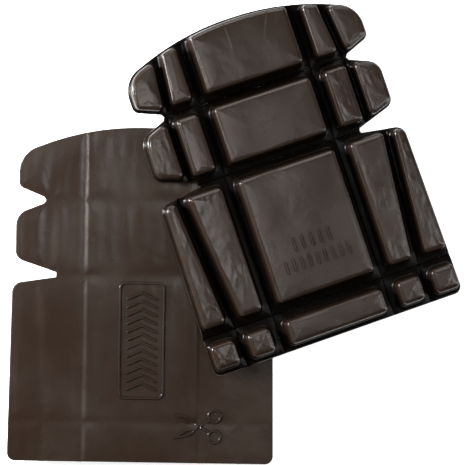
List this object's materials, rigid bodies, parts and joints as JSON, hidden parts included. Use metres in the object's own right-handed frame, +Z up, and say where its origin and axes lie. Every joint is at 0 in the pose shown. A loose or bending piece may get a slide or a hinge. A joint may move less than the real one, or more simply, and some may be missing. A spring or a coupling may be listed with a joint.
{
  "type": "knee guard pair",
  "caption": "Pair of flat foam knee guards for trouser knee pockets, with raised cushion blocks on the knee side and fold lines between them.",
  "frame": {"origin": "under the middle of the pair's footprint, on the floor the guards lie on", "axes": "+Z up from the floor, +Y towards the top edge of the lower guard, +X towards the upper guard"},
  "size_m": [0.3324, 0.3372, 0.0403],
  "materials": {
    "foam_skin": "satin moulded skin with fine wrinkles"
  },
  "bodies": {
    "lower_guard_bottom_row_left_outer": {"lower_guard_bottom_row_left_outer_block": "foam_skin"},
    "lower_guard_bottom_row_left_inner": {"lower_guard_bottom_row_left_inner_block": "foam_skin"},
    "lower_guard_bottom_row_centre": {"lower_guard_bottom_row_centre_block": "foam_skin"},
    "lower_guard_bottom_row_right_inner": {"lower_guard_bottom_row_right_inner_block": "foam_skin"},
    "lower_guard_bottom_row_right_outer": {"lower_guard_bottom_row_right_outer_block": "foam_skin"},
    "lower_guard_main_row_left_outer": {"lower_guard_main_row_left_outer_block": "foam_skin"},
    "lower_guard_main_row_left_inner": {"lower_guard_main_row_left_inner_block": "foam_skin"},
    "lower_guard_main_row_centre": {"lower_guard_main_row_centre_block": "foam_skin"},
    "lower_guard_main_row_right_inner": {"lower_guard_main_row_right_inner_block": "foam_skin"},
    "lower_guard_main_row_right_outer": {"lower_guard_main_row_right_outer_block": "foam_skin"},
    "lower_guard_upper_row_left_outer": {"lower_guard_upper_row_left_outer_block": "foam_skin"},
    "lower_guard_upper_row_left_inner": {"lower_guard_upper_row_left_inner_block": "foam_skin"},
    "lower_guard_upper_row_centre": {"lower_guard_upper_row_centre_block": "foam_skin"},
    "lower_guard_upper_row_right_inner": {"lower_guard_upper_row_right_inner_block": "foam_skin"},
    "lower_guard_upper_row_right_outer": {"lower_guard_upper_row_right_outer_block": "foam_skin"},
    "lower_guard_top_row_left_outer": {"lower_guard_top_row_left_outer_block": "foam_skin"},
    "lower_guard_top_row_left_inner": {"lower_guard_top_row_left_inner_block": "foam_skin"},
    "lower_guard_top_row_centre": {"lower_guard_top_row_centre_block": "foam_skin"},
    "lower_guard_top_row_right_inner": {"lower_guard_top_row_right_inner_block": "foam_skin"},
    "lower_guard_top_row_right_outer": {"lower_guard_top_row_right_outer_block": "foam_skin"},
    "upper_guard_bottom_row_left_outer": {"upper_guard_bottom_row_left_outer_block": "foam_skin"},
    "upper_guard_bottom_row_left_inner": {"upper_guard_bottom_row_left_inner_block": "foam_skin"},
    "upper_guard_bottom_row_centre": {"upper_guard_bottom_row_centre_block": "foam_skin"},
    "upper_guard_bottom_row_right_inner": {"upper_guard_bottom_row_right_inner_block": "foam_skin"},
    "upper_guard_bottom_row_right_outer": {"upper_guard_bottom_row_right_outer_block": "foam_skin"},
    "upper_guard_main_row_left_outer": {"upper_guard_main_row_left_outer_block": "foam_skin"},
    "upper_guard_main_row_left_inner": {"upper_guard_main_row_left_inner_block": "foam_skin"},
    "upper_guard_main_row_centre": {"upper_guard_main_row_centre_block": "foam_skin"},
    "upper_guard_main_row_right_inner": {"upper_guard_main_row_right_inner_block": "foam_skin"},
    "upper_guard_main_row_right_outer": {"upper_guard_main_row_right_outer_block": "foam_skin"},
    "upper_guard_upper_row_left_outer": {"upper_guard_upper_row_left_outer_block": "foam_skin"},
    "upper_guard_upper_row_left_inner": {"upper_guard_upper_row_left_inner_block": "foam_skin"},
    "upper_guard_upper_row_centre": {"upper_guard_upper_row_centre_block": "foam_skin"},
    "upper_guard_upper_row_right_inner": {"upper_guard_upper_row_right_inner_block": "foam_skin"},
    "upper_guard_upper_row_right_outer": {"upper_guard_upper_row_right_outer_block": "foam_skin"},
    "upper_guard_top_row_left_outer": {"upper_guard_top_row_left_outer_block": "foam_skin"},
    "upper_guard_top_row_left_inner": {"upper_guard_top_row_left_inner_block": "foam_skin"},
    "upper_guard_top_row_centre": {"upper_guard_top_row_centre_block": "foam_skin"},
    "upper_guard_top_row_right_inner": {"upper_guard_top_row_right_inner_block": "foam_skin"},
    "upper_guard_top_row_right_outer": {"upper_guard_top_row_right_outer_block": "foam_skin"}
  },
  "joints": [
    {"name": "lower_guard_middle_bend", "type": "hinge", "parent": "lower_guard_main_row_centre", "child": "lower_guard_upper_row_centre", "pos_m": [-0.06706, -0.03101, 0.016], "axis": [-0.9999, 0.0157, 0], "range_deg": [0, 20], "stiffness_Nm_per_rad": 0.06},
    {"name": "lower_guard_top_bend", "type": "hinge", "parent": "lower_guard_upper_row_centre", "child": "lower_guard_top_row_centre", "pos_m": [-0.06621, 0.02328, 0.016], "axis": [-0.9999, 0.0157, 0], "range_deg": [0, 20], "stiffness_Nm_per_rad": 0.06},
    {"name": "lower_guard_bottom_bend", "type": "hinge", "parent": "lower_guard_main_row_centre", "child": "lower_guard_bottom_row_centre", "pos_m": [-0.06874, -0.138, 0.016], "axis": [0.9999, -0.0157, 0], "range_deg": [0, 20], "stiffness_Nm_per_rad": 0.06},
    {"name": "lower_guard_left_wing_wrap", "type": "hinge", "parent": "lower_guard_main_row_centre", "child": "lower_guard_main_row_left_inner", "pos_m": [-0.02491, -0.08518, 0.016], "axis": [-0.0157, -0.9999, 0], "range_deg": [-20, 0], "stiffness_Nm_per_rad": 0.05},
    {"name": "lower_guard_main_row_left_edge_fold", "type": "hinge", "parent": "lower_guard_main_row_left_inner", "child": "lower_guard_main_row_left_outer", "pos_m": [0.00868, -0.08571, 0.016], "axis": [-0.1028, -0.9947, 0], "range_deg": [-10, 0], "stiffness_Nm_per_rad": 0.025},
    {"name": "lower_guard_right_wing_wrap", "type": "hinge", "parent": "lower_guard_main_row_centre", "child": "lower_guard_main_row_right_inner", "pos_m": [-0.11089, -0.08383, 0.016], "axis": [0.0157, 0.9999, 0], "range_deg": [-20, 0], "stiffness_Nm_per_rad": 0.05},
    {"name": "lower_guard_main_row_right_edge_fold", "type": "hinge", "parent": "lower_guard_main_row_right_inner", "child": "lower_guard_main_row_right_outer", "pos_m": [-0.14448, -0.0833, 0.016], "axis": [-0.0715, 0.9974, 0], "range_deg": [-10, 0], "stiffness_Nm_per_rad": 0.025},
    {"name": "lower_guard_upper_row_left_wing_fold", "type": "hinge", "parent": "lower_guard_upper_row_centre", "child": "lower_guard_upper_row_left_inner", "pos_m": [-0.02364, -0.00454, 0.016], "axis": [-0.0157, -0.9999, 0], "range_deg": [-20, 0], "stiffness_Nm_per_rad": 0.02454},
    {"name": "lower_guard_upper_row_left_edge_fold", "type": "hinge", "parent": "lower_guard_upper_row_left_inner", "child": "lower_guard_upper_row_left_outer", "pos_m": [0.00256, -0.00495, 0.016], "axis": [-0.0157, -0.9999, 0], "range_deg": [-10, 0], "stiffness_Nm_per_rad": 0.01227},
    {"name": "lower_guard_upper_row_right_wing_fold", "type": "hinge", "parent": "lower_guard_upper_row_centre", "child": "lower_guard_upper_row_right_inner", "pos_m": [-0.10963, -0.00319, 0.016], "axis": [0.0157, 0.9999, 0], "range_deg": [-20, 0], "stiffness_Nm_per_rad": 0.02454},
    {"name": "lower_guard_upper_row_right_edge_fold", "type": "hinge", "parent": "lower_guard_upper_row_right_inner", "child": "lower_guard_upper_row_right_outer", "pos_m": [-0.13582, -0.00278, 0.016], "axis": [0.0157, 0.9999, 0], "range_deg": [-10, 0], "stiffness_Nm_per_rad": 0.01227},
    {"name": "lower_guard_top_row_left_wing_fold", "type": "hinge", "parent": "lower_guard_top_row_centre", "child": "lower_guard_top_row_left_inner", "pos_m": [-0.02279, 0.04955, 0.016], "axis": [-0.0157, -0.9999, 0], "range_deg": [-20, 0], "stiffness_Nm_per_rad": 0.025},
    {"name": "lower_guard_top_row_left_edge_fold", "type": "hinge", "parent": "lower_guard_top_row_left_inner", "child": "lower_guard_top_row_left_outer", "pos_m": [-0.00063, 0.04921, 0.016], "axis": [0.0915, -0.9958, 0], "range_deg": [-10, 0], "stiffness_Nm_per_rad": 0.0125},
    {"name": "lower_guard_top_row_right_wing_fold", "type": "hinge", "parent": "lower_guard_top_row_centre", "child": "lower_guard_top_row_right_inner", "pos_m": [-0.10878, 0.0509, 0.016], "axis": [0.0157, 0.9999, 0], "range_deg": [-20, 0], "stiffness_Nm_per_rad": 0.025},
    {"name": "lower_guard_top_row_right_edge_fold", "type": "hinge", "parent": "lower_guard_top_row_right_inner", "child": "lower_guard_top_row_right_outer", "pos_m": [-0.13093, 0.05125, 0.016], "axis": [0.1227, 0.9924, 0], "range_deg": [-10, 0], "stiffness_Nm_per_rad": 0.0125},
    {"name": "lower_guard_bottom_row_left_wing_fold", "type": "hinge", "parent": "lower_guard_bottom_row_centre", "child": "lower_guard_bottom_row_left_inner", "pos_m": [-0.02597, -0.15327, 0.016], "axis": [-0.0157, -0.9999, 0], "range_deg": [-20, 0], "stiffness_Nm_per_rad": 0.01343},
    {"name": "lower_guard_bottom_row_left_edge_fold", "type": "hinge", "parent": "lower_guard_bottom_row_left_inner", "child": "lower_guard_bottom_row_left_outer", "pos_m": [0.00302, -0.15373, 0.016], "axis": [-0.0157, -0.9999, 0], "range_deg": [-10, 0], "stiffness_Nm_per_rad": 0.00671},
    {"name": "lower_guard_bottom_row_right_wing_fold", "type": "hinge", "parent": "lower_guard_bottom_row_centre", "child": "lower_guard_bottom_row_right_inner", "pos_m": [-0.11196, -0.15192, 0.016], "axis": [0.0157, 0.9999, 0], "range_deg": [-20, 0], "stiffness_Nm_per_rad": 0.01343},
    {"name": "lower_guard_bottom_row_right_edge_fold", "type": "hinge", "parent": "lower_guard_bottom_row_right_inner", "child": "lower_guard_bottom_row_right_outer", "pos_m": [-0.14096, -0.15147, 0.016], "axis": [0.0157, 0.9999, 0], "range_deg": [-10, 0], "stiffness_Nm_per_rad": 0.00671},
    {"name": "upper_guard_lift", "type": "slide", "parent": "lower_guard_main_row_centre", "child": "upper_guard_main_row_centre", "axis": [0, 0, 1], "range_m": [0, 0.06]},
    {"name": "upper_guard_middle_bend", "type": "hinge", "parent": "upper_guard_main_row_centre", "child": "upper_guard_upper_row_centre", "pos_m": [0.03301, 0.05524, 0.01479], "axis": [0.9361, 0.3189, -0.1483], "range_deg": [0, 20], "stiffness_Nm_per_rad": 0.06},
    {"name": "upper_guard_top_bend", "type": "hinge", "parent": "upper_guard_upper_row_centre", "child": "upper_guard_top_row_centre", "pos_m": [0.01551, 0.10665, 0.01486], "axis": [0.9361, 0.3189, -0.1483], "range_deg": [0, 20], "stiffness_Nm_per_rad": 0.06},
    {"name": "upper_guard_bottom_bend", "type": "hinge", "parent": "upper_guard_main_row_centre", "child": "upper_guard_bottom_row_centre", "pos_m": [0.0675, -0.04605, 0.01465], "axis": [-0.9361, -0.3189, 0.1483], "range_deg": [0, 20], "stiffness_Nm_per_rad": 0.06},
    {"name": "upper_guard_left_wing_wrap", "type": "hinge", "parent": "upper_guard_main_row_centre", "child": "upper_guard_main_row_left_inner", "pos_m": [0.01, -0.00912, 0.0211], "axis": [0.3223, -0.9466, -0.0013], "range_deg": [-20, 0], "stiffness_Nm_per_rad": 0.05},
    {"name": "upper_guard_main_row_left_edge_fold", "type": "hinge", "parent": "upper_guard_main_row_left_inner", "child": "upper_guard_main_row_left_outer", "pos_m": [-0.02144, -0.01983, 0.02608], "axis": [0.4027, -0.9152, -0.0142], "range_deg": [-10, 0], "stiffness_Nm_per_rad": 0.025},
    {"name": "upper_guard_right_wing_wrap", "type": "hinge", "parent": "upper_guard_main_row_centre", "child": "upper_guard_main_row_right_inner", "pos_m": [0.0905, 0.01831, 0.00834], "axis": [-0.3223, 0.9466, 0.0013], "range_deg": [-20, 0], "stiffness_Nm_per_rad": 0.05},
    {"name": "upper_guard_main_row_right_edge_fold", "type": "hinge", "parent": "upper_guard_main_row_right_inner", "child": "upper_guard_main_row_right_outer", "pos_m": [0.12195, 0.02903, 0.00336], "axis": [-0.2395, 0.9708, -0.0117], "range_deg": [-10, 0], "stiffness_Nm_per_rad": 0.025},
    {"name": "upper_guard_upper_row_left_wing_fold", "type": "hinge", "parent": "upper_guard_upper_row_centre", "child": "upper_guard_upper_row_left_inner", "pos_m": [-0.016, 0.06723, 0.0212], "axis": [0.3223, -0.9466, -0.0013], "range_deg": [-20, 0], "stiffness_Nm_per_rad": 0.02454},
    {"name": "upper_guard_upper_row_left_edge_fold", "type": "hinge", "parent": "upper_guard_upper_row_left_inner", "child": "upper_guard_upper_row_left_outer", "pos_m": [-0.04052, 0.05887, 0.02509], "axis": [0.3223, -0.9466, -0.0013], "range_deg": [-10, 0], "stiffness_Nm_per_rad": 0.01227},
    {"name": "upper_guard_upper_row_right_wing_fold", "type": "hinge", "parent": "upper_guard_upper_row_centre", "child": "upper_guard_upper_row_right_inner", "pos_m": [0.06451, 0.09466, 0.00844], "axis": [-0.3223, 0.9466, 0.0013], "range_deg": [-20, 0], "stiffness_Nm_per_rad": 0.02454},
    {"name": "upper_guard_upper_row_right_edge_fold", "type": "hinge", "parent": "upper_guard_upper_row_right_inner", "child": "upper_guard_upper_row_right_outer", "pos_m": [0.08903, 0.10301, 0.00456], "axis": [-0.3223, 0.9466, 0.0013], "range_deg": [-10, 0], "stiffness_Nm_per_rad": 0.01227},
    {"name": "upper_guard_top_row_left_wing_fold", "type": "hinge", "parent": "upper_guard_top_row_centre", "child": "upper_guard_top_row_left_inner", "pos_m": [-0.03343, 0.11844, 0.02127], "axis": [0.3223, -0.9466, -0.0013], "range_deg": [-20, 0], "stiffness_Nm_per_rad": 0.025},
    {"name": "upper_guard_top_row_left_edge_fold", "type": "hinge", "parent": "upper_guard_top_row_left_inner", "child": "upper_guard_top_row_left_outer", "pos_m": [-0.05418, 0.11137, 0.02455], "axis": [0.2202, -0.9754, 0.0146], "range_deg": [-10, 0], "stiffness_Nm_per_rad": 0.0125},
    {"name": "upper_guard_top_row_right_wing_fold", "type": "hinge", "parent": "upper_guard_top_row_centre", "child": "upper_guard_top_row_right_inner", "pos_m": [0.04707, 0.14587, 0.00851], "axis": [-0.3223, 0.9466, 0.0013], "range_deg": [-20, 0], "stiffness_Nm_per_rad": 0.025},
    {"name": "upper_guard_top_row_right_edge_fold", "type": "hinge", "parent": "upper_guard_top_row_right_inner", "child": "upper_guard_top_row_right_outer", "pos_m": [0.06781, 0.15294, 0.00523], "axis": [-0.4208, 0.907, 0.0171], "range_deg": [-10, 0], "stiffness_Nm_per_rad": 0.0125},
    {"name": "upper_guard_bottom_row_left_wing_fold", "type": "hinge", "parent": "upper_guard_bottom_row_centre", "child": "upper_guard_bottom_row_left_inner", "pos_m": [0.03195, -0.07358, 0.02101], "axis": [0.3223, -0.9466, -0.0013], "range_deg": [-20, 0], "stiffness_Nm_per_rad": 0.01343},
    {"name": "upper_guard_bottom_row_left_edge_fold", "type": "hinge", "parent": "upper_guard_bottom_row_left_inner", "child": "upper_guard_bottom_row_left_outer", "pos_m": [0.0048, -0.08283, 0.02531], "axis": [0.3223, -0.9466, -0.0013], "range_deg": [-10, 0], "stiffness_Nm_per_rad": 0.00671},
    {"name": "upper_guard_bottom_row_right_wing_fold", "type": "hinge", "parent": "upper_guard_bottom_row_centre", "child": "upper_guard_bottom_row_right_inner", "pos_m": [0.11245, -0.04615, 0.00826], "axis": [-0.3223, 0.9466, 0.0013], "range_deg": [-20, 0], "stiffness_Nm_per_rad": 0.01343},
    {"name": "upper_guard_bottom_row_right_edge_fold", "type": "hinge", "parent": "upper_guard_bottom_row_right_inner", "child": "upper_guard_bottom_row_right_outer", "pos_m": [0.1396, -0.0369, 0.00396], "axis": [-0.3223, 0.9466, 0.0013], "range_deg": [-10, 0], "stiffness_Nm_per_rad": 0.00671}
  ],
  "couplings": [
    {"joint": "lower_guard_main_row_left_edge_fold", "follows": "lower_guard_left_wing_wrap", "ratio": 0.5},
    {"joint": "lower_guard_main_row_right_edge_fold", "follows": "lower_guard_right_wing_wrap", "ratio": 0.5},
    {"joint": "lower_guard_upper_row_left_wing_fold", "follows": "lower_guard_left_wing_wrap", "ratio": 1},
    {"joint": "lower_guard_upper_row_left_edge_fold", "follows": "lower_guard_left_wing_wrap", "ratio": 0.5},
    {"joint": "lower_guard_upper_row_right_wing_fold", "follows": "lower_guard_right_wing_wrap", "ratio": 1},
    {"joint": "lower_guard_upper_row_right_edge_fold", "follows": "lower_guard_right_wing_wrap", "ratio": 0.5},
    {"joint": "lower_guard_top_row_left_wing_fold", "follows": "lower_guard_left_wing_wrap", "ratio": 1},
    {"joint": "lower_guard_top_row_left_edge_fold", "follows": "lower_guard_left_wing_wrap", "ratio": 0.5},
    {"joint": "lower_guard_top_row_right_wing_fold", "follows": "lower_guard_right_wing_wrap", "ratio": 1},
    {"joint": "lower_guard_top_row_right_edge_fold", "follows": "lower_guard_right_wing_wrap", "ratio": 0.5},
    {"joint": "lower_guard_bottom_row_left_wing_fold", "follows": "lower_guard_left_wing_wrap", "ratio": 1},
    {"joint": "lower_guard_bottom_row_left_edge_fold", "follows": "lower_guard_left_wing_wrap", "ratio": 0.5},
    {"joint": "lower_guard_bottom_row_right_wing_fold", "follows": "lower_guard_right_wing_wrap", "ratio": 1},
    {"joint": "lower_guard_bottom_row_right_edge_fold", "follows": "lower_guard_right_wing_wrap", "ratio": 0.5},
    {"joint": "upper_guard_main_row_left_edge_fold", "follows": "upper_guard_left_wing_wrap", "ratio": 0.5},
    {"joint": "upper_guard_main_row_right_edge_fold", "follows": "upper_guard_right_wing_wrap", "ratio": 0.5},
    {"joint": "upper_guard_upper_row_left_wing_fold", "follows": "upper_guard_left_wing_wrap", "ratio": 1},
    {"joint": "upper_guard_upper_row_left_edge_fold", "follows": "upper_guard_left_wing_wrap", "ratio": 0.5},
    {"joint": "upper_guard_upper_row_right_wing_fold", "follows": "upper_guard_right_wing_wrap", "ratio": 1},
    {"joint": "upper_guard_upper_row_right_edge_fold", "follows": "upper_guard_right_wing_wrap", "ratio": 0.5},
    {"joint": "upper_guard_top_row_left_wing_fold", "follows": "upper_guard_left_wing_wrap", "ratio": 1},
    {"joint": "upper_guard_top_row_left_edge_fold", "follows": "upper_guard_left_wing_wrap", "ratio": 0.5},
    {"joint": "upper_guard_top_row_right_wing_fold", "follows": "upper_guard_right_wing_wrap", "ratio": 1},
    {"joint": "upper_guard_top_row_right_edge_fold", "follows": "upper_guard_right_wing_wrap", "ratio": 0.5},
    {"joint": "upper_guard_bottom_row_left_wing_fold", "follows": "upper_guard_left_wing_wrap", "ratio": 1},
    {"joint": "upper_guard_bottom_row_left_edge_fold", "follows": "upper_guard_left_wing_wrap", "ratio": 0.5},
    {"joint": "upper_guard_bottom_row_right_wing_fold", "follows": "upper_guard_right_wing_wrap", "ratio": 1},
    {"joint": "upper_guard_bottom_row_right_edge_fold", "follows": "upper_guard_right_wing_wrap", "ratio": 0.5}
  ]
}
